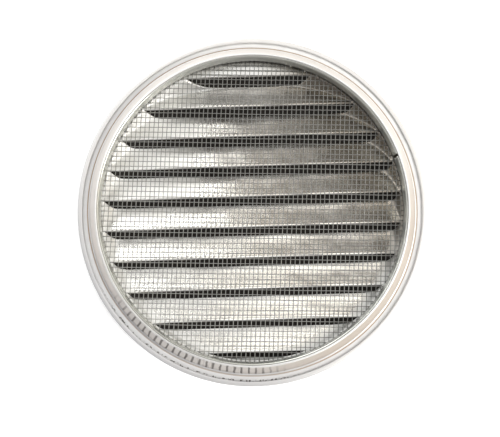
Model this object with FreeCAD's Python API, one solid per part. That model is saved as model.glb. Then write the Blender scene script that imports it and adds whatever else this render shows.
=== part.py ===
import FreeCAD, Part
import math
import os

from FreeCAD import Vector

# Small round louvred vent for a 4 in ceiling or wall hole, pressed from aluminium sheet.
# +Z points into the duct, the louvres face -Z into the room, and the louvres run along X.
# The origin is on the vent's axis, in the plane of the hemmed rim that bears on the ceiling.
# All sizes are in millimetres.

# Driving dimensions: rim and sheet
RIM_R = 54.9              # outer edge of the hemmed rim
PLATE_SHEET = 0.6         # louvre plate
COLLAR_SHEET = 0.5        # collar ring
HEM_WIDTH = 1.6           # how far the hem laps over the collar ring's flange
HEM_GAP = 0.05            # room between the flange's edge and the inside of the hem

# Driving dimensions: collar, which fits the hole
LAND_R = 50.8             # short straight land at the collar's root
LAND_TOP = 1.0            # height where the straight land turns into the taper
BEAD_R = 51.5             # small bead around the root, which stops the collar in the hole
BEAD_HEIGHT = 0.35
RIM_MOUTH_R = 47.85       # inside of the collar at its upper edge
COLLAR_TOP = 3.8          # upper edge of the collar

# Driving dimensions: split ring and screen
RING_R = 47.3             # inside of the split ring
RING_SHEET = 0.4
RING_BELOW_TOP = 0.3      # the ring ends this far below the collar's upper edge
RING_SPLIT = 0.8          # gap between the ring's two ends
RING_SPLIT_ANGLE = 18.0   # degrees from +X, turning towards +Y
WIRE_R = 0.14
WARP_PITCH = 25.4 / 18    # 18 x 16 insect screen
WEFT_PITCH = 25.4 / 16
WARP_ANGLE = 85.6         # degrees from the louvres; the screen lies a little turned and skewed
WEFT_ANGLE = -2.6
SCREEN_CLEARANCE = 0.05   # plate to wires
LAYER_GAP = 0.04          # between the two layers of wire
RING_CLEARANCE = 0.2      # wires to the ring's lower edge

# Driving dimensions: louvres
LOUVRE_COUNT = 10
LOUVRE_PITCH = 9.66
LOUVRE_SHIFT = -1.05      # the row of louvres sits this far off centre, along Y
LOUVRE_FIELD_R = 47.0     # the slits and hoods end on this circle
HOOD_DEPTH = 3.6          # plate's upper face to the hood's lip, inside
HOOD_END_TAPER = 2.2      # how far a hood's end wall leans inwards over that depth
LIP_SETBACK = 2.3         # the lip stands this far behind the cut edge
LAND_WIDTH = 0.5          # flat strip left between a hood's fold and the next slit
HOOD_SAG = 0.4            # how far the hood's section bows below its chord

# Levels, from the rim's bearing plane at Z = 0
FLANGE_TOP = -PLATE_SHEET
FLANGE_BOTTOM = FLANGE_TOP - COLLAR_SHEET
PLATE_TOP = FLANGE_BOTTOM
PLATE_BOTTOM = PLATE_TOP - PLATE_SHEET
WARP_Z = PLATE_TOP + SCREEN_CLEARANCE + WIRE_R
WEFT_Z = WARP_Z + 2 * WIRE_R + LAYER_GAP
RING_BOTTOM = WEFT_Z + WIRE_R + RING_CLEARANCE
RING_TOP = COLLAR_TOP - RING_BELOW_TOP
SCREEN_R = RING_R + RING_SHEET - 0.05

UP = Vector(0, 0, 1)
AXIS_START = Vector(0, 0, 0)


def revolved(points):
    """Solid of revolution about Z from a closed outline of (radius, height) points."""
    outline = [Vector(r, 0, z) for r, z in points]
    face = Part.Face(Part.makePolygon(outline + outline[:1]))
    return face.revolve(AXIS_START, UP, 360)


def hood_section(cut_y):
    """Key points of one hood's section, in the YZ plane: fold, belly and lip, inside and outside."""
    fold = Vector(0, cut_y - LOUVRE_PITCH + LAND_WIDTH, PLATE_TOP)
    lip = Vector(0, cut_y - LIP_SETBACK, PLATE_TOP - HOOD_DEPTH)
    chord = (lip - fold).normalize()
    outward = Vector(0, chord.z, -chord.y)
    belly = (fold + lip) * 0.5 + outward * HOOD_SAG
    inside = [fold, belly, lip]
    outside = [point + outward * PLATE_SHEET for point in inside]
    return inside, outside


def hood_block(curve, cut_y, bottom_r):
    """Everything between the plate's upper face and a hood curve, ended by the leaning end wall."""
    fold, belly, lip = curve
    cut = Vector(0, cut_y, PLATE_TOP)
    arc = Part.Arc(fold, belly, lip).toShape()
    face = Part.Face(Part.Wire([arc] + Part.makePolygon([lip, cut, fold]).Edges))
    face.translate(Vector(-LOUVRE_FIELD_R, 0, 0))
    prism = face.extrude(Vector(2 * LOUVRE_FIELD_R, 0, 0))
    top_r = bottom_r + HOOD_END_TAPER
    depth = HOOD_DEPTH + 2 * PLATE_SHEET
    cone = Part.makeCone(bottom_r, top_r, depth, Vector(0, 0, PLATE_TOP - depth))
    return prism.common(cone)


def cut_edges():
    """The Y of every slit's cut edge, from the top louvre down."""
    first = LOUVRE_SHIFT + LOUVRE_PITCH * (LOUVRE_COUNT - 1) / 2
    return [first - LOUVRE_PITCH * index for index in range(LOUVRE_COUNT)]


def make_louvre_plate():
    hem_inner_r = RIM_R - HEM_WIDTH
    plate = revolved([(0, PLATE_BOTTOM), (RIM_R - 0.3, PLATE_BOTTOM), (RIM_R, PLATE_BOTTOM + 0.3),
                      (RIM_R, -0.3), (RIM_R - 0.3, 0), (hem_inner_r, 0),
                      (hem_inner_r, FLANGE_TOP), (RIM_R - PLATE_SHEET, FLANGE_TOP),
                      (RIM_R - PLATE_SHEET, PLATE_TOP), (0, PLATE_TOP)])
    outer_r = LOUVRE_FIELD_R - HOOD_END_TAPER
    inner_r = outer_r - PLATE_SHEET
    hoods = []
    for cut_y in cut_edges():
        inside, outside = hood_section(cut_y)
        shell = hood_block(outside, cut_y, outer_r)
        hollow = hood_block(inside, cut_y, inner_r)
        hoods.append(shell.cut(hollow))
        plate = plate.cut(hollow)
    return plate.fuse(hoods).removeSplitter()


def make_collar_ring():
    flange_r = RIM_R - PLATE_SHEET - HEM_GAP
    root_r = LAND_R - COLLAR_SHEET
    round_r = COLLAR_SHEET / 2
    rim_z = COLLAR_TOP - round_r
    ring = revolved([(root_r, FLANGE_BOTTOM), (flange_r, FLANGE_BOTTOM), (flange_r, FLANGE_TOP),
                     (BEAD_R, FLANGE_TOP), (BEAD_R, FLANGE_TOP + BEAD_HEIGHT),
                     (LAND_R, FLANGE_TOP + BEAD_HEIGHT), (LAND_R, LAND_TOP),
                     (RIM_MOUTH_R + COLLAR_SHEET, rim_z), (RIM_MOUTH_R, rim_z),
                     (root_r, LAND_TOP - COLLAR_SHEET)])
    rolled_edge = Part.makeTorus(RIM_MOUTH_R + round_r, round_r, Vector(0, 0, rim_z))
    return ring.fuse(rolled_edge)


def make_retaining_ring():
    height = RING_TOP - RING_BOTTOM
    base = Vector(0, 0, RING_BOTTOM)
    ring = Part.makeCylinder(RING_R + RING_SHEET, height, base)
    ring = ring.cut(Part.makeCylinder(RING_R, height, base))
    split = Part.makeBox(RING_R, RING_SPLIT, height, Vector(RING_R / 2, -RING_SPLIT / 2, RING_BOTTOM))
    split.rotate(AXIS_START, UP, RING_SPLIT_ANGLE)
    return ring.cut(split)


def make_wires(pitch, level, angle):
    """Parallel straight wires at one pitch, each as long as its chord of the round screen."""
    along = Vector(math.cos(math.radians(angle)), math.sin(math.radians(angle)), 0)
    across = Vector(-along.y, along.x, 0)
    half_count = int((SCREEN_R - WIRE_R) / pitch)
    wires = []
    for index in range(-half_count, half_count + 1):
        offset = index * pitch
        half_length = math.sqrt(SCREEN_R ** 2 - (abs(offset) + WIRE_R) ** 2)
        start = across * offset - along * half_length + Vector(0, 0, level)
        wires.append(Part.makeCylinder(WIRE_R, 2 * half_length, start, along))
    return Part.makeCompound(wires)


os.makedirs("parts", exist_ok=True)
NODES = {
    "louvre_plate": make_louvre_plate(),
    "collar_ring": make_collar_ring(),
    "retaining_ring": make_retaining_ring(),
    "screen_warp_wires": make_wires(WARP_PITCH, WARP_Z, WARP_ANGLE),
    "screen_weft_wires": make_wires(WEFT_PITCH, WEFT_Z, WEFT_ANGLE),
}
for name, shape in NODES.items():
    shape.exportStep(f"parts/{name}.step")
    print(name, shape.isValid(), len(shape.Solids), round(shape.Volume, 1))
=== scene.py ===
import math
import random

import bmesh
import bpy
from mathutils import Matrix, Vector, noise


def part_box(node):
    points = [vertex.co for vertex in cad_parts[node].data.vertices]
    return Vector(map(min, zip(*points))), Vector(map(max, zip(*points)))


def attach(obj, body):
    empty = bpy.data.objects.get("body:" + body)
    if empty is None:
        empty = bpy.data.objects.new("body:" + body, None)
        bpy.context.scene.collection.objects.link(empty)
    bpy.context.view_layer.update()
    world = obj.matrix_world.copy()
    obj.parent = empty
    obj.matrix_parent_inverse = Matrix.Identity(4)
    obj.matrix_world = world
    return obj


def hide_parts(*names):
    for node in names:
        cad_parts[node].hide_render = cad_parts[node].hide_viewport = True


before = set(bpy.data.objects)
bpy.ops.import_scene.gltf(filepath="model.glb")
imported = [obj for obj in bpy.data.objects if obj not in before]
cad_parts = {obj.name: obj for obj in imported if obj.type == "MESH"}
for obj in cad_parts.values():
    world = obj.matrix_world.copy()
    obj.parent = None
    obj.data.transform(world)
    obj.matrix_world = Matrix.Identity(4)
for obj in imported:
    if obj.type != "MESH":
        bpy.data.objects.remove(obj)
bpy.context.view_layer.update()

# A round louvred vent, shown from its duct side. +Z points into the duct, and the louvres run along X.
# Lengths are in millimetres until build_mesh() or the stage turns them into metres.
MM = 0.001

# Levels and radii that the frame gives
plate_low, plate_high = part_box("louvre_plate")
collar_low, collar_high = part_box("collar_ring")
ring_low, ring_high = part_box("retaining_ring")
warp_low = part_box("screen_warp_wires")[0]
weft_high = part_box("screen_weft_wires")[1]
RIM_R = min(plate_high.x, plate_high.y) / MM
FLANGE_R = min(collar_high.x, collar_high.y) / MM
PLATE_TOP = collar_low.z / MM
COLLAR_TOP = collar_high.z / MM
RING_BOTTOM = ring_low.z / MM
RING_TOP = ring_high.z / MM
SCREEN_MIDDLE = (warp_low.z + weft_high.z) / 2 / MM
FLOOR_Z = plate_low.z / MM

# Plate, hem and collar
PLATE_SHEET = 0.6
COLLAR_SHEET = 0.5
FIELD_EDGE_R = 50.0       # the plate is flat outside this circle
HEM_INNER_R = 53.3
HEM_BEND = 0.25           # radius of the fold round the flange's edge
HEM_CLEARANCE = 0.03      # keeps the fold inside the frame's rim
FLANGE_TOP = PLATE_TOP + COLLAR_SHEET
SEAT_GAP = 0.02           # collar's flange to the sheet below and above it
LAND_R = 50.8             # straight land at the collar's root
LAND_TOP = 1.0
BEAD_R = 51.5             # bead round the root
BEAD_ROUND = 0.3
RIM_MOUTH_R = 47.85       # inside of the collar at its upper edge

# Crimp creases across the collar's taper: where they are, and how deep and wide each can be
CRIMP_START = math.radians(-145)
CRIMP_END = math.radians(-92)
CRIMP_STEPS = (1.9, 3.1)  # degrees from one to the next
CRIMP_DEPTHS = (0.05, 0.14)
CRIMP_WIDTHS = (0.10, 0.22)
CRIMP_FOOT = 1.6          # a crease runs out this many widths from its middle

# Split ring
RING_R = 47.3
RING_SHEET = 0.4
RING_SPLIT = 0.8
RING_SPLIT_ANGLE = math.radians(18)
RING_EDGE = 0.12          # rounding of the strip's edges
RING_WALL_STEPS = 8
RING_TURN_STEPS = 720
RIPPLE_R = 47.0           # the ring's ripple is read from the noise on this circle

# Louvres
LOUVRE_COUNT = 10
LOUVRE_PITCH = 9.66
LOUVRE_SHIFT = -1.05      # the row of louvres sits this far off centre, along Y
LOUVRE_FIELD_R = 47.0     # the slits and hoods end on this circle
HOOD_DEPTH = 3.48         # a little less than the frame's, to leave room for the dents
HOOD_SAG = 0.4            # how far the hood's section bows below its chord
LIP_SETBACK = 2.3         # the lip stands this far behind the cut edge
LAND_WIDTH = 0.2          # flat strip between a hood's fold and the next slit
LEFT_END_LENGTH = 4.4     # length of the hoods' drawn ends
LOWER_LEFT_END_LENGTH = 2.2
LOWER_LEFT_Y = -25        # the left ends have their lower-left length from here down
RIGHT_END_LENGTH = 2.6
END_DEPTH_SHARE = 1.1     # an end's curve heads for this share of the hood's depth
CREASE = 0.9              # width of the rounding between a hood and its ends
FOLD_CREASE = 0.15        # width of the rounding at the fold
DENT_DEPTH, DENT_SIZE = 0.08, 9
SMALL_DENT_DEPTH, SMALL_DENT_SIZE = 0.03, 3.5
STRIP_ROWS = 30
MIDDLE_COLUMNS = 40       # columns from the middle of a row to MIDDLE_SHARE of its half
END_COLUMNS = 22
MIDDLE_SHARE = 0.86

# Screen
WIRE_R = 0.115
WIRE_SIDES = 6
WARP_PITCH = 25.4 / 18    # 18 x 16 insect screen
WEFT_PITCH = 25.4 / 16
PITCH_ERROR = 0.05
WARP_ANGLE = math.radians(85.6)
WEFT_ANGLE = math.radians(-2.6)
SCREEN_CLEARANCE = 0.05   # the wires end this far inside the ring's outside
SCREEN_R = RING_R + RING_SHEET - SCREEN_CLEARANCE
LAST_CROSSING = 0.05      # no crossing lies nearer than this to a wire's end
DRIFT = 0.16              # how far the wires wander sideways
DRIFT_SIZE = 22

# Camera and stage
CAMERA_PLACE = (-1.2, -18.0, 175.0)
CAMERA_TARGET = (-0.81, -3.21, -1.0)
CAMERA_ROLL = math.radians(1.8)
SENSOR_WIDTH = 36
LENS = 40.47
WORLD_STRENGTH = 1.5
FLOOR_HALF = 1500
FLOOR_DROP = 0.02         # the floor lies this far below the shade disc
DISC_SIDES = 96

# Masks in the materials measure heights and distances outwards in this unit
MASK_UNIT = 5

rng = random.Random(7)


# ---------------------------------------------------------------- mesh helpers

def build_mesh(name, points, faces):
    """A smooth-shaded object from points in millimetres."""
    mesh = bpy.data.meshes.new(name)
    mesh.from_pydata([(x * MM, y * MM, z * MM) for x, y, z in points], [], faces)
    mesh.shade_smooth()
    mesh.update()
    obj = bpy.data.objects.new(name, mesh)
    bpy.context.scene.collection.objects.link(obj)
    return obj


def merge_points(obj):
    """Joins points that lie in the same place, to a tenth of a micrometre."""
    bm = bmesh.new()
    bm.from_mesh(obj.data)
    bmesh.ops.remove_doubles(bm, verts=bm.verts, dist=1e-7)
    bm.to_mesh(obj.data)
    bm.free()


def finish_piece(obj, body, nodes, material):
    """Gives a piece its material, the body it moves with and the nodes it stands for."""
    obj.data.materials.append(material)
    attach(obj, body)
    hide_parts(*nodes)


def arc_points(centre_r, centre_z, radius, start, end, steps):
    """Points on an arc in the section plane, angles in degrees from outwards, turning upwards."""
    points = []
    for index in range(steps + 1):
        angle = math.radians(start + (end - start) * index / steps)
        points.append((centre_r + radius * math.cos(angle), centre_z + radius * math.sin(angle)))
    return points


def lathe(name, outline, angles, closed_turn, shift):
    """Turns a closed (radius, height) outline through the angles; shift moves each point a little."""
    points, faces = [], []
    count = len(outline)
    for angle in angles:
        for outline_r, outline_z in outline:
            r, z = shift(outline_r, outline_z, angle)
            points.append((r * math.cos(angle), r * math.sin(angle), z))
    turns = len(angles)
    for turn in range(turns if closed_turn else turns - 1):
        here = turn * count
        there = (turn + 1) % turns * count
        for index in range(count):
            following = (index + 1) % count
            faces.append((here + index, there + index, there + following, here + following))
    if not closed_turn:
        faces.append(tuple(range(count)))
        faces.append(tuple((turns - 1) * count + index for index in reversed(range(count))))
    return build_mesh(name, points, faces)


def smooth_min(a, b, width):
    """The smaller of two values, rounded off where they are closer than width."""
    blend = max(width - abs(a - b), 0) / width
    return min(a, b) - blend * blend * width / 4


def smooth_max(a, b, width):
    """The larger of two values, rounded off in the same way."""
    return -smooth_min(-a, -b, width)


def wander(x, y, z, size, seed):
    """Smooth noise between -1 and 1 with features about size millimetres across."""
    return noise.noise(Vector((x / size + seed * 17.3, y / size - seed * 5.1, z / size + seed)))


# ---------------------------------------------------------------- louvre plate

def cut_edges():
    """The Y of every slit's cut edge, from the top louvre down."""
    first = LOUVRE_SHIFT + LOUVRE_PITCH * (LOUVRE_COUNT - 1) / 2
    return [first - LOUVRE_PITCH * index for index in range(LOUVRE_COUNT)]


def end_length(x, y):
    """How long the nearer drawn end is: long at the left, shorter at the lower left and right."""
    if x >= 0:
        return RIGHT_END_LENGTH
    lower = min(max(y / LOWER_LEFT_Y, 0), 1)
    return LEFT_END_LENGTH * (1 - lower) + LOWER_LEFT_END_LENGTH * lower


def dent(x, y, depth):
    """Large and small dents, which fade out where the sheet is hardly pressed."""
    large = DENT_DEPTH * min(depth / 2, 1) * wander(x, y, 0, DENT_SIZE, 1)
    small = SMALL_DENT_DEPTH * min(depth, 1) * wander(x, y, 0, SMALL_DENT_SIZE, 2)
    return large + small


def pressed_point(x, y, cut_y):
    """Where the sheet at (x, y), just below the slit at cut_y, is after pressing."""
    if cut_y is None:
        return x, y, PLATE_TOP
    part = (cut_y - y) / (LOUVRE_PITCH - LAND_WIDTH)
    sag = HOOD_SAG * 4 * max(part * (1 - part), 0)
    slope_depth = HOOD_DEPTH * (1 - part) + sag
    outside = 1 - (LOUVRE_FIELD_R - math.hypot(x, y)) / end_length(x, y)
    end_depth = END_DEPTH_SHARE * HOOD_DEPTH * (1 - outside * abs(outside))
    depth = smooth_min(slope_depth, end_depth, CREASE)
    depth = smooth_max(depth, 0, FOLD_CREASE)
    setback = LIP_SETBACK * max(1 - part, 0) * min(depth / HOOD_DEPTH, 1)
    return x, y - setback, PLATE_TOP - depth - dent(x, y, depth)


def column_fractions():
    """Places across a row, from -1 to 1, closer together at the ends where the hoods turn down."""
    columns = range(-MIDDLE_COLUMNS, MIDDLE_COLUMNS + 1)
    middle = [index / MIDDLE_COLUMNS * MIDDLE_SHARE for index in columns]
    end_share = 1 - MIDDLE_SHARE
    end = [MIDDLE_SHARE + end_share * (index + 1) / END_COLUMNS for index in range(END_COLUMNS)]
    return [-value for value in reversed(end)] + middle + end


def edge_angle(y):
    """The angle round the field's edge at which it reaches y."""
    return math.asin(max(min(y / FIELD_EDGE_R, 1), -1))


def add_strip(top_y, bottom_y, cut_y, points, faces):
    """Adds the sheet between two slits, in rows at even angles round the edge, and returns the angles."""
    start, end = edge_angle(top_y), edge_angle(bottom_y)
    fractions = column_fractions()
    width = len(fractions)
    base = len(points)
    angles = [start + (end - start) * row / STRIP_ROWS for row in range(STRIP_ROWS + 1)]
    for angle in angles:
        y = FIELD_EDGE_R * math.sin(angle)
        half = FIELD_EDGE_R * math.cos(angle)
        for fraction in fractions:
            points.append(pressed_point(fraction * half, y, cut_y))
    for row in range(STRIP_ROWS):
        for column in range(width - 1):
            corner = base + row * width + column
            faces.append((corner, corner + width, corner + width + 1, corner + 1))
    return angles


def hem_section():
    """The flat edge of the plate, folded up and over the flange, as (radius, height) points."""
    bend_r = RIM_R - PLATE_SHEET - HEM_BEND - HEM_CLEARANCE
    hem_z = PLATE_TOP + 2 * HEM_BEND
    flat = [(FIELD_EDGE_R + 1.5 * step, PLATE_TOP) for step in range(3)]
    fold = arc_points(bend_r, PLATE_TOP + HEM_BEND, HEM_BEND, -90, 90, 8)
    return flat + fold + [((bend_r + HEM_INNER_R) / 2, hem_z), (HEM_INNER_R, hem_z)]


def cut_edge_error(x, y):
    """How far the hem's cut edge strays from its circle."""
    return 0.12 * wander(x, y, 0, 6, 3) + 0.06 * wander(x, y, 0, 1.5, 4)


def add_hem(angles, points, faces):
    """Adds the hem round the whole plate, starting from the same angles as the rows of the strips."""
    section = hem_section()
    count = len(section)
    base = len(points)
    for angle in angles:
        x, y = math.cos(angle), math.sin(angle)
        for index, (r, z) in enumerate(section):
            if index == count - 1:
                r += cut_edge_error(x * FIELD_EDGE_R, y * FIELD_EDGE_R)
            points.append((r * x, r * y, z))
    for index in range(len(angles)):
        here = base + index * count
        there = base + (index + 1) % len(angles) * count
        for step in range(count - 1):
            faces.append((here + step, there + step, there + step + 1, here + step + 1))


def make_louvre_plate(material):
    """One sheet with every hood pressed out of it, hemmed at its edge."""
    points, faces = [], []
    cuts = cut_edges()
    angles = add_strip(FIELD_EDGE_R, cuts[0], None, points, faces)
    for cut_y, next_y in zip(cuts, cuts[1:] + [-FIELD_EDGE_R]):
        angles += add_strip(cut_y, next_y, cut_y, points, faces)[1:]
    left_angles = [math.pi - angle for angle in reversed(angles[1:-1])]
    add_hem(angles + left_angles, points, faces)
    obj = build_mesh("pressed_louvre_plate", points, faces)
    merge_points(obj)
    solid = obj.modifiers.new("sheet", "SOLIDIFY")
    solid.thickness = PLATE_SHEET * MM
    solid.offset = -1
    solid.use_even_offset = True
    finish_piece(obj, "housing", ["louvre_plate"], material)


# ---------------------------------------------------------------- collar ring

def crimp_marks():
    """The angle, depth and width of each crimp crease, unevenly spaced over part of the turn."""
    marks = []
    angle = CRIMP_START
    while angle < CRIMP_END:
        marks.append((angle % (2 * math.pi), rng.uniform(*CRIMP_DEPTHS), rng.uniform(*CRIMP_WIDTHS)))
        angle += math.radians(rng.uniform(*CRIMP_STEPS))
    return marks


def collar_angles(marks):
    """Even half-degree steps round the turn, with extra ones across each crimp."""
    angles = [math.radians(0.5) * index for index in range(720)]
    for angle, _, width in marks:
        for offset in (-CRIMP_FOOT, -1, -0.5, 0, 0.5, 1, CRIMP_FOOT):
            angles.append((angle + offset * width / LAND_R) % (2 * math.pi))
    return sorted(angles)


def collar_outline():
    """Flange, groove, root bead, straight land, taper and rolled edge, as (radius, height) points."""
    seat = FLANGE_TOP - SEAT_GAP
    root_r = LAND_R - COLLAR_SHEET
    round_r = COLLAR_SHEET / 2
    rim_z = COLLAR_TOP - round_r
    taper = root_r - RIM_MOUTH_R
    outline = [(root_r, PLATE_TOP + SEAT_GAP), (FLANGE_R, PLATE_TOP + SEAT_GAP), (FLANGE_R, seat)]
    outline += [(BEAD_R + 1.1, seat), (BEAD_R + 0.25, seat), (BEAD_R + 0.1, FLANGE_TOP - 0.12)]
    outline += arc_points(BEAD_R - BEAD_ROUND, FLANGE_TOP + 0.1, BEAD_ROUND, -20, 110, 6)
    outline += [(LAND_R, FLANGE_TOP + 0.5), (LAND_R, LAND_TOP - 0.3), (LAND_R - 0.08, LAND_TOP)]
    outline += [(LAND_R - taper * part, LAND_TOP + (rim_z - LAND_TOP) * part) for part in (0.33, 0.66)]
    outline += arc_points(RIM_MOUTH_R + round_r, rim_z, round_r, 20, 180, 10)
    outline += [(RIM_MOUTH_R + 0.1, rim_z - 0.6), (root_r - 0.05, LAND_TOP - 0.3)]
    return outline


def make_collar_ring(material):
    """The flanged collar, with its crimp creases."""
    marks = crimp_marks()
    taper_bottom = FLANGE_TOP + 0.4
    taper_top = COLLAR_TOP - COLLAR_SHEET / 2 + 0.1
    taper_inner_r = RIM_MOUTH_R + 0.3

    def crimped(r, z, angle):
        """Presses the creases into the taper's outside, and makes it a little uneven."""
        if not taper_bottom < z < taper_top or r < taper_inner_r:
            return r, z
        for place, depth, width in marks:
            distance = abs(angle - place) * LAND_R
            r -= depth * max(0, 1 - (distance / (CRIMP_FOOT * width)) ** 2)
        r += 0.03 * wander(r * math.cos(angle), r * math.sin(angle), z, 2.5, 5)
        return r, z

    obj = lathe("tapered_collar", collar_outline(), collar_angles(marks), True, crimped)
    merge_points(obj)
    finish_piece(obj, "housing", ["collar_ring"], material)


# ---------------------------------------------------------------- split ring

def ring_outline():
    """The strip's section, its upper outside edge flared a little, with its inner wall in steps."""
    outer = RING_R + RING_SHEET
    bottom, top = RING_BOTTOM + RING_EDGE, RING_TOP - RING_EDGE
    flare = RING_TOP - 3 * RING_EDGE
    outline = [(RING_R, bottom), (RING_R + RING_EDGE, RING_BOTTOM), (outer - RING_EDGE, RING_BOTTOM),
               (outer, bottom), (outer, flare), (outer + RING_EDGE, top), (outer, RING_TOP),
               (RING_R + 2 * RING_EDGE, RING_TOP), (RING_R, flare)]
    wall = RING_TOP - RING_BOTTOM - 2 * RING_EDGE
    outline += [(RING_R, top - wall * step / RING_WALL_STEPS) for step in range(1, RING_WALL_STEPS)]
    return outline


def make_split_ring(material):
    """The strip that holds the screen down, a little rippled, with a gap between its ends."""
    half_gap = RING_SPLIT / 2 / RING_R
    start = RING_SPLIT_ANGLE + half_gap
    sweep = 2 * math.pi - 2 * half_gap
    angles = [start + sweep * index / RING_TURN_STEPS for index in range(RING_TURN_STEPS + 1)]

    def rippled(r, z, angle):
        """Moves the point in or out a little."""
        x, y = RIPPLE_R * math.cos(angle), RIPPLE_R * math.sin(angle)
        return r + 0.02 * wander(x, y, z, 4, 6), z

    obj = lathe("split_retaining_ring", ring_outline(), angles, False, rippled)
    merge_points(obj)
    finish_piece(obj, "ring", ["retaining_ring"], material)


# ---------------------------------------------------------------- screen

def drift(x, y):
    """The screen's small in-plane waviness."""
    return DRIFT * wander(x, y, 0, DRIFT_SIZE, 8), DRIFT * wander(x, y, 0, DRIFT_SIZE, 9)


def family(pitch, angle):
    """The direction, the sideways direction and the numbered offsets of one set of parallel wires."""
    along = Vector((math.cos(angle), math.sin(angle)))
    across = Vector((-along.y, along.x))
    half_count = int((SCREEN_R - WIRE_R) / pitch)
    offsets = []
    for index in range(-half_count, half_count + 1):
        offsets.append((index, index * pitch + rng.uniform(-PITCH_ERROR, PITCH_ERROR)))
    return along, across, offsets


def wire_path(index, offset, wires, crossed, lift):
    """Places along a wire with its height there: up or down at each crossing, level between them."""
    along, across, _ = wires
    _, other_across, other_offsets = crossed
    half = math.sqrt(max(SCREEN_R ** 2 - (abs(offset) + WIRE_R) ** 2, 0))
    crossings = []
    for other_index, other in other_offsets:
        place = (other - offset * other_across.dot(across)) / other_across.dot(along)
        if abs(place) < half - LAST_CROSSING:
            crossings.append((place, other_index))
    crossings.sort()
    path = [(-half, 0)]
    for number, (place, other_index) in enumerate(crossings):
        sign = lift if (index + other_index) % 2 else -lift
        if number:
            path.append(((crossings[number - 1][0] + place) / 2, 0))
        path.append((place, sign * WIRE_R))
    path.append((half, 0))
    return path


def add_wire(offset, path, wires, points, faces):
    """Adds one round wire with flat ends along its path."""
    along, across, _ = wires
    base = len(points)
    for place, z in path:
        x = across.x * offset + along.x * place
        y = across.y * offset + along.y * place
        dx, dy = drift(x, y)
        for side in range(WIRE_SIDES):
            turn = 2 * math.pi * side / WIRE_SIDES
            sideways, upwards = WIRE_R * math.cos(turn), WIRE_R * math.sin(turn)
            points.append((x + dx + across.x * sideways, y + dy + across.y * sideways,
                           SCREEN_MIDDLE + z + upwards))
    for ring in range(len(path) - 1):
        here = base + ring * WIRE_SIDES
        there = here + WIRE_SIDES
        for side in range(WIRE_SIDES):
            beside = (side + 1) % WIRE_SIDES
            faces.append((here + side, here + beside, there + beside, there + side))
    last = base + (len(path) - 1) * WIRE_SIDES
    faces.append(tuple(reversed(range(base, base + WIRE_SIDES))))
    faces.append(tuple(range(last, last + WIRE_SIDES)))


def make_woven_wires(name, wires, crossed, lift, node, material):
    """Round wires that pass over and under the wires they cross."""
    points, faces = [], []
    for index, offset in wires[2]:
        path = wire_path(index, offset, wires, crossed, lift)
        add_wire(offset, path, wires, points, faces)
    obj = build_mesh(name, points, faces)
    finish_piece(obj, "screen", [node], material)


# ---------------------------------------------------------------- shader nodes

class Graph:
    """The node tree of a material or world, with short ways to add to it."""

    def __init__(self, owner):
        owner.use_nodes = True
        self.nodes = owner.node_tree.nodes
        self.links = owner.node_tree.links

    def feed(self, socket, value):
        """Links another socket into this one, or sets it to a plain number."""
        if isinstance(value, bpy.types.NodeSocket):
            self.links.new(value, socket)
        else:
            socket.default_value = value

    def maths(self, operation, first, second=0):
        """The result of one maths node; each side is a socket or a plain number."""
        node = self.nodes.new("ShaderNodeMath")
        node.operation = operation
        self.feed(node.inputs[0], first)
        self.feed(node.inputs[1], second)
        return node.outputs["Value"]

    def product(self, *factors):
        """All the sockets and numbers multiplied together."""
        result = factors[0]
        for factor in factors[1:]:
            result = self.maths("MULTIPLY", result, factor)
        return result

    def map_range(self, value, old_limits, new_limits):
        """The value, stretched and clamped from its old limits to the new ones."""
        node = self.nodes.new("ShaderNodeMapRange")
        node.inputs["From Min"].default_value, node.inputs["From Max"].default_value = old_limits
        node.inputs["To Min"].default_value, node.inputs["To Max"].default_value = new_limits
        self.links.new(value, node.inputs["Value"])
        return node.outputs["Result"]

    def noise(self, place, scale, detail):
        """Noise from 0 to 1 at a place, finer where the scale is higher."""
        node = self.nodes.new("ShaderNodeTexNoise")
        node.inputs["Scale"].default_value = scale
        node.inputs["Detail"].default_value = detail
        self.links.new(place, node.inputs["Vector"])
        return node.outputs["Fac"]

    def ramp(self, value, stops):
        """A ramp through (value, colour) stops; values run from 0 to 1."""
        node = self.nodes.new("ShaderNodeValToRGB")
        elements = node.color_ramp.elements
        while len(elements) < len(stops):
            elements.new(0.5)
        for element, (position, colour) in zip(elements, stops):
            element.position = position
            element.color = (*colour, 1)
        self.links.new(value, node.inputs["Fac"])
        return node.outputs["Color"]

    def mask(self, value, stops):
        """A grey ramp through (value, level) stops."""
        return self.ramp(value, [(position, (level, level, level)) for position, level in stops])

    def colour_product(self, *colours):
        """All the colours multiplied together."""
        result = colours[0]
        for colour in colours[1:]:
            node = self.nodes.new("ShaderNodeVectorMath")
            node.operation = "MULTIPLY"
            self.links.new(result, node.inputs[0])
            self.links.new(colour, node.inputs[1])
            result = node.outputs["Vector"]
        return result

    def tint(self, colour, amount, tone):
        """The colour, turned towards the tone where the amount is high."""
        node = self.nodes.new("ShaderNodeMix")
        node.data_type = "RGBA"
        self.links.new(amount, node.inputs["Factor"])
        self.links.new(colour, node.inputs["A"])
        node.inputs["B"].default_value = (*tone, 1)
        return node.outputs["Result"]

    def blend(self, amount, first, second):
        """A number that goes from the first to the second where the amount is high."""
        node = self.nodes.new("ShaderNodeMix")
        self.links.new(amount, node.inputs["Factor"])
        self.feed(node.inputs["A"], first)
        self.feed(node.inputs["B"], second)
        return node.outputs["Result"]


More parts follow.
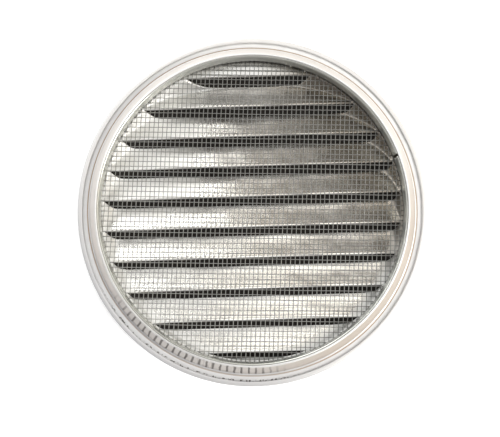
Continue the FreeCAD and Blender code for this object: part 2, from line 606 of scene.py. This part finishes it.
class PlaceOnVent:
    """Where a point of a material lies on the vent, as sockets in metres."""

    def __init__(self, graph):
        self.graph = graph
        self.vector = graph.nodes.new("ShaderNodeTexCoord").outputs["Object"]
        split = graph.nodes.new("ShaderNodeSeparateXYZ")
        graph.links.new(self.vector, split.inputs["Vector"])
        self.x, self.y, self.z = split.outputs

    def outwards(self):
        """How far the point is outside the field's edge, in mask units."""
        graph = self.graph
        squares = graph.maths("ADD", graph.product(self.x, self.x), graph.product(self.y, self.y))
        outside = graph.maths("SUBTRACT", graph.maths("SQRT", squares), FIELD_EDGE_R * MM)
        return graph.product(outside, 1 / (MASK_UNIT * MM))

    def towards(self, x_per_metre, y_per_metre, start=0):
        """How far the point lies to one side: so much per metre along X and along Y, from the start."""
        graph = self.graph
        sides = graph.maths("ADD", graph.product(self.x, x_per_metre), graph.product(self.y, y_per_metre))
        return graph.maths("ADD", sides, start)


# ---------------------------------------------------------------- materials

def metal(name, colour, metallic, roughness, grain_scale, grain_height):
    """Rolled aluminium: uneven roughness and tone, and a fine grain stretched by grain_scale."""
    material = bpy.data.materials.new(name)
    graph = Graph(material)
    shader = graph.nodes["Principled BSDF"]
    shader.inputs["Metallic"].default_value = metallic
    place = graph.nodes.new("ShaderNodeTexCoord").outputs["Object"]
    patches = graph.noise(place, 260, 5)
    rough = graph.map_range(patches, (0.3, 0.7), (roughness * 0.85, roughness * 1.15))
    graph.links.new(rough, shader.inputs["Roughness"])
    darker = [channel * 0.93 for channel in colour]
    graph.links.new(graph.ramp(patches, [(0.3, darker), (0.6, colour)]), shader.inputs["Base Color"])
    stretch = graph.nodes.new("ShaderNodeMapping")
    stretch.inputs["Scale"].default_value = grain_scale
    graph.links.new(place, stretch.inputs["Vector"])
    bump = graph.nodes.new("ShaderNodeBump")
    bump.inputs["Strength"].default_value = 1
    bump.inputs["Distance"].default_value = grain_height * MM
    graph.links.new(graph.noise(stretch.outputs["Vector"], 1, 2), bump.inputs["Height"])
    graph.links.new(bump.outputs["Normal"], shader.inputs["Normal"])
    return material


def drawn_ends(graph, place, outwards, lower_left):
    """Mask of the drawn ends, for their duller finish and their painted highlight: wide at the upper left,
    and narrow round all but the upper right.
    """
    left = graph.mask(place.towards(-20, 0), [(0.24, 0), (0.66, 1)])
    upper = graph.mask(place.towards(0, 10, 0.5), [(0.42, 0), (0.60, 1)])
    near_edge = graph.maths("ADD", graph.product(outwards, 0.25), 0.8)
    edge = graph.mask(near_edge, [(0.50, 0), (0.62, 1)])
    not_upper_right = graph.mask(graph.maths("ADD", lower_left, 0.5), [(0.15, 0), (0.35, 1)])
    return graph.maths("MAXIMUM", graph.product(left, upper), graph.product(edge, not_upper_right))


def plate_tones(graph, colour, place, outwards, lower_left, hem, stretched):
    """Painted light in the plate's colour: a pale highlight on the drawn ends, shade greying the hem at the
    lower left and darkening its outer fold as an outline, and a browner right side for what the metal
    mirrors there.
    """
    # Painted highlight: the drawn ends get a paler colour, which stands in for the light they catch.
    colour = graph.tint(colour, stretched, (0.94, 0.94, 0.92))
    # Painted shade: the hem is greyer towards the lower left.
    lower_left_shade = graph.mask(lower_left, [(0.20, 0.45), (0.45, 0.95)])
    colour = graph.tint(colour, graph.product(hem, lower_left_shade), (0.54, 0.54, 0.55))
    # Painted shade: a dark outline on the hem's outer fold.
    outline = graph.mask(outwards, [(0.90, 0), (0.95, 0.35)])
    colour = graph.tint(colour, outline, (0.26, 0.27, 0.31))
    # Painted reflection: a brown tone on the right side, inside the hem, for the brown that the metal
    # mirrors there.
    right = graph.mask(place.towards(9, 5), [(0.24, 0), (0.38, 0.7)])
    inside = graph.mask(graph.maths("ADD", outwards, 0.5), [(0.4, 1), (0.6, 0)])
    return graph.tint(colour, graph.product(right, inside), (0.28, 0.235, 0.17))


def dull_plate(material, metallic, roughness):
    """Dulls the plate's hem and the hoods' drawn ends, where the sheet is stretched, and paints highlight,
    shade and reflection into its colour.
    """
    graph = Graph(material)
    shader = graph.nodes["Principled BSDF"]
    place = PlaceOnVent(graph)
    outwards = place.outwards()
    lower_left = place.towards(-6, -8)
    hem = graph.mask(outwards, [(0.50, 0), (0.55, 1)])
    stretched = drawn_ends(graph, place, outwards, lower_left)
    colour = shader.inputs["Base Color"].links[0].from_socket
    colour = plate_tones(graph, colour, place, outwards, lower_left, hem, stretched)
    graph.links.new(colour, shader.inputs["Base Color"])
    dull = graph.maths("MAXIMUM", hem, stretched)
    bright = shader.inputs["Metallic"].default_value
    smooth = shader.inputs["Roughness"].links[0].from_socket
    graph.links.new(graph.blend(dull, bright, metallic), shader.inputs["Metallic"])
    graph.links.new(graph.blend(dull, smooth, roughness), shader.inputs["Roughness"])


def taper_tones(graph, colour, place, taper):
    """Painted shade on the taper: a beige tone, stronger in front and darker at the lower right, the sides
    turned from the light.
    """
    front = graph.mask(place.towards(0, -10, 0.5), [(0.45, 0.55), (0.85, 0.9)])
    colour = graph.tint(colour, graph.product(taper, front), (0.58, 0.53, 0.48))
    # Painted shade: darker at the lower right.
    lower_right = graph.mask(place.towards(7, -7), [(0.20, 0), (0.40, 0.85)])
    return graph.tint(colour, graph.product(taper, lower_right), (0.42, 0.37, 0.32))


def root_tones(graph, colour, outwards, lower_left):
    """Painted shade: tan in the groove outside the bead, and a greyer lower-left side."""
    # Painted shade in the groove outside the bead.
    groove = graph.mask(outwards, [(0.29, 0), (0.31, 1), (0.365, 1), (0.385, 0)])
    colour = graph.tint(colour, graph.product(groove, 0.85), (0.36, 0.24, 0.14))
    # Painted shade: the lower-left side is greyer.
    side = graph.mask(lower_left, [(0.60, 0), (0.93, 1)])
    return graph.tint(colour, graph.product(side, 0.45), (0.50, 0.50, 0.51))


def crimp_ticks(graph, colour, place, taper, lower_left):
    """Painted shade in the crimp creases: dark ticks across the lower-left taper, 143 to the turn, each a
    little out of place.
    """
    turn = graph.maths("ARCTAN2", place.y, place.x)
    uneven = graph.noise(place.vector, 420, 3)
    wave = graph.maths("SINE", graph.maths("ADD", graph.product(turn, 143), graph.product(uneven, 2.5)))
    ticks = graph.mask(wave, [(0.35, 0), (0.85, 1)])
    crimped = graph.mask(lower_left, [(0.80, 0), (0.90, 1)])
    return graph.tint(colour, graph.product(ticks, crimped, taper), (0.15, 0.14, 0.13))


def seam_gap_shadows(graph, colour, place, outwards, lower_left):
    """Painted shadow in the gaps along the lower-left seam between flange and hem, in dark dots."""
    seam = graph.mask(outwards, [(0.56, 0), (0.60, 1), (0.70, 1)])
    # Painted shadow: dark dots where the seam gaps.
    gap_shadows = graph.mask(graph.noise(place.vector, 1300, 3), [(0.53, 0), (0.58, 1)])
    shadowed_part = graph.mask(lower_left, [(0.80, 0), (0.92, 1)])
    return graph.tint(colour, graph.product(seam, shadowed_part, gap_shadows), (0.07, 0.06, 0.055))


def paint_collar_shade(material):
    """Paints shade onto the collar: tones on its taper and root, dark ticks in its crimp creases, and
    shadowed gaps along its seam.
    """
    graph = Graph(material)
    shader = graph.nodes["Principled BSDF"]
    place = PlaceOnVent(graph)
    outwards = place.outwards()
    lower_left = place.towards(-8.4, -18.0)
    height = graph.product(place.z, 1 / (MASK_UNIT * MM))
    taper = graph.mask(height, [(0.12, 0), (0.20, 1), (0.66, 1), (0.72, 0)])
    colour = shader.inputs["Base Color"].links[0].from_socket
    colour = taper_tones(graph, colour, place, taper)
    colour = root_tones(graph, colour, outwards, lower_left)
    colour = crimp_ticks(graph, colour, place, taper, lower_left)
    colour = seam_gap_shadows(graph, colour, place, outwards, lower_left)
    graph.links.new(colour, shader.inputs["Base Color"])


def plain_material(name, colour, glow):
    """A matt surface of the stage, which may glow a little."""
    material = bpy.data.materials.new(name)
    shader = Graph(material).nodes["Principled BSDF"]
    shader.inputs["Base Color"].default_value = (*colour, 1)
    shader.inputs["Roughness"].default_value = 0.9
    shader.inputs["Emission Color"].default_value = (1, 1, 1, 1)
    shader.inputs["Emission Strength"].default_value = glow
    return material


# ---------------------------------------------------------------- stage

def make_camera():
    """Above the vent, a little towards -Y, with the louvres turned a little in the picture."""
    place = Vector(CAMERA_PLACE) * MM
    target = Vector(CAMERA_TARGET) * MM
    back = (place - target).normalized()
    row = Vector((math.cos(CAMERA_ROLL), -math.sin(CAMERA_ROLL), 0))
    right = (row - back * row.dot(back)).normalized()
    up = back.cross(right)
    data = bpy.data.cameras.new("camera")
    data.sensor_width = SENSOR_WIDTH
    data.lens = LENS
    data.clip_start = 0.01
    data.clip_end = 20
    camera = bpy.data.objects.new("camera", data)
    bpy.context.scene.collection.objects.link(camera)
    camera.matrix_world = Matrix.Translation(place) @ Matrix((right, up, back)).transposed().to_4x4()
    bpy.context.scene.camera = camera


def make_floor():
    """A pale floor, with a dark disc of painted shade hidden under the vent so that its slots look into
    darkness.
    """
    level = FLOOR_Z - FLOOR_DROP
    corners = [(-1, -1), (1, -1), (1, 1), (-1, 1)]
    points = [(x * FLOOR_HALF, y * FLOOR_HALF, level) for x, y in corners]
    floor = build_mesh("floor", points, [(0, 1, 2, 3)])
    floor.data.materials.append(plain_material("pale_floor", (0.9, 0.9, 0.9), 0.35))
    disc_r = LOUVRE_FIELD_R + 1
    turns = [2 * math.pi * index / DISC_SIDES for index in range(DISC_SIDES)]
    rim = [(disc_r * math.cos(turn), disc_r * math.sin(turn), FLOOR_Z) for turn in turns]
    disc = build_mesh("shade_disc", rim, [tuple(range(DISC_SIDES))])
    # Painted shade: a near-black disc under the vent.
    disc.data.materials.append(plain_material("painted_shade_under_vent", (0.012, 0.010, 0.008), 0))


def add_softbox(name, place, width, height, power, colour):
    """A rectangular window of light that faces the vent; its power is in watts."""
    data = bpy.data.lights.new(name, "AREA")
    data.shape = "RECTANGLE"
    data.size, data.size_y = width * MM, height * MM
    data.energy = power
    data.color = colour
    light = bpy.data.objects.new(name, data)
    bpy.context.scene.collection.objects.link(light)
    light.location = Vector(place) * MM
    light.rotation_mode = "QUATERNION"
    light.rotation_quaternion = (-Vector(place)).to_track_quat("-Z", "Y")


def direction_ramp(graph, direction, axis, stops):
    """A colour ramp over how far a direction leans towards an axis, from -1 to 1."""
    lean = graph.nodes.new("ShaderNodeVectorMath")
    lean.operation = "DOT_PRODUCT"
    lean.inputs[1].default_value = Vector(axis).normalized()
    graph.links.new(direction, lean.inputs[0])
    spread = graph.map_range(lean.outputs["Value"], (-1, 1), (0, 1))
    return graph.ramp(spread, [((leaning + 1) / 2, colour) for leaning, colour in stops])


def make_studio():
    """Pale surroundings with a few darker things in them, which the metal mirrors, and three windows."""
    world = bpy.data.worlds.new("studio")
    bpy.context.scene.world = world
    graph = Graph(world)
    direction = graph.nodes.new("ShaderNodeTexCoord").outputs["Generated"]
    white = (1, 1, 1)
    brown_wall = [(0.76, white), (0.84, (0.85, 0.80, 0.72)), (0.90, (0.44, 0.38, 0.30)),
                  (0.93, (0.04, 0.03, 0.02))]
    dim_corner = [(0.0, white), (0.7, (0.15, 0.14, 0.14))]
    amber_patch = [(0.90, white), (0.96, (0.60, 0.43, 0.20))]
    grey_ceiling = [(0.86, white), (0.97, (0.8, 0.8, 0.8))]
    surroundings = [
        ((0.42, 0.84, 0.28), brown_wall),       # behind, on the right
        ((-0.40, -0.86, 0.30), dim_corner),     # in front, on the left
        ((0.87, -0.05, 0.45), amber_patch),     # on the right
        ((0, 0, 1), grey_ceiling),
    ]
    shades = [direction_ramp(graph, direction, axis, stops) for axis, stops in surroundings]
    background = graph.nodes["Background"]
    graph.links.new(graph.colour_product(*shades), background.inputs["Color"])
    background.inputs["Strength"].default_value = WORLD_STRENGTH
    add_softbox("right_window", (125, 560, 560), 300, 170, 0.28, (1, 0.98, 0.95))
    add_softbox("left_window", (-232, 726, 247), 350, 420, 2.0, (1, 1, 1))
    add_softbox("side_window", (600, -260, 460), 400, 300, 5.5, (1, 0.99, 0.97))


bpy.context.scene.view_settings.view_transform = "Standard"
make_camera()
make_studio()
make_floor()

plate_metal = metal("pressed_sheet", colour=(0.77, 0.76, 0.73), metallic=0.95, roughness=0.23,
                    grain_scale=(150, 4000, 4000), grain_height=0.006)
dull_plate(plate_metal, metallic=0.20, roughness=0.42)
collar_metal = metal("collar_sheet", colour=(0.79, 0.79, 0.785), metallic=0.35, roughness=0.42,
                     grain_scale=(2500, 2500, 2500), grain_height=0.01)
paint_collar_shade(collar_metal)
ring_metal = metal("ring_strip", colour=(0.60, 0.61, 0.57), metallic=0.6, roughness=0.20,
                   grain_scale=(1500, 1500, 6000), grain_height=0.005)
wire_metal = metal("drawn_wire", colour=(0.31, 0.31, 0.295), metallic=0.8, roughness=0.35,
                   grain_scale=(3000, 3000, 3000), grain_height=0.005)

make_louvre_plate(plate_metal)
make_collar_ring(collar_metal)
make_split_ring(ring_metal)
warp = family(WARP_PITCH, WARP_ANGLE)
weft = family(WEFT_PITCH, WEFT_ANGLE)
make_woven_wires("woven_warp_wires", warp, weft, 1, "screen_warp_wires", wire_metal)
make_woven_wires("woven_weft_wires", weft, warp, -1, "screen_weft_wires", wire_metal)
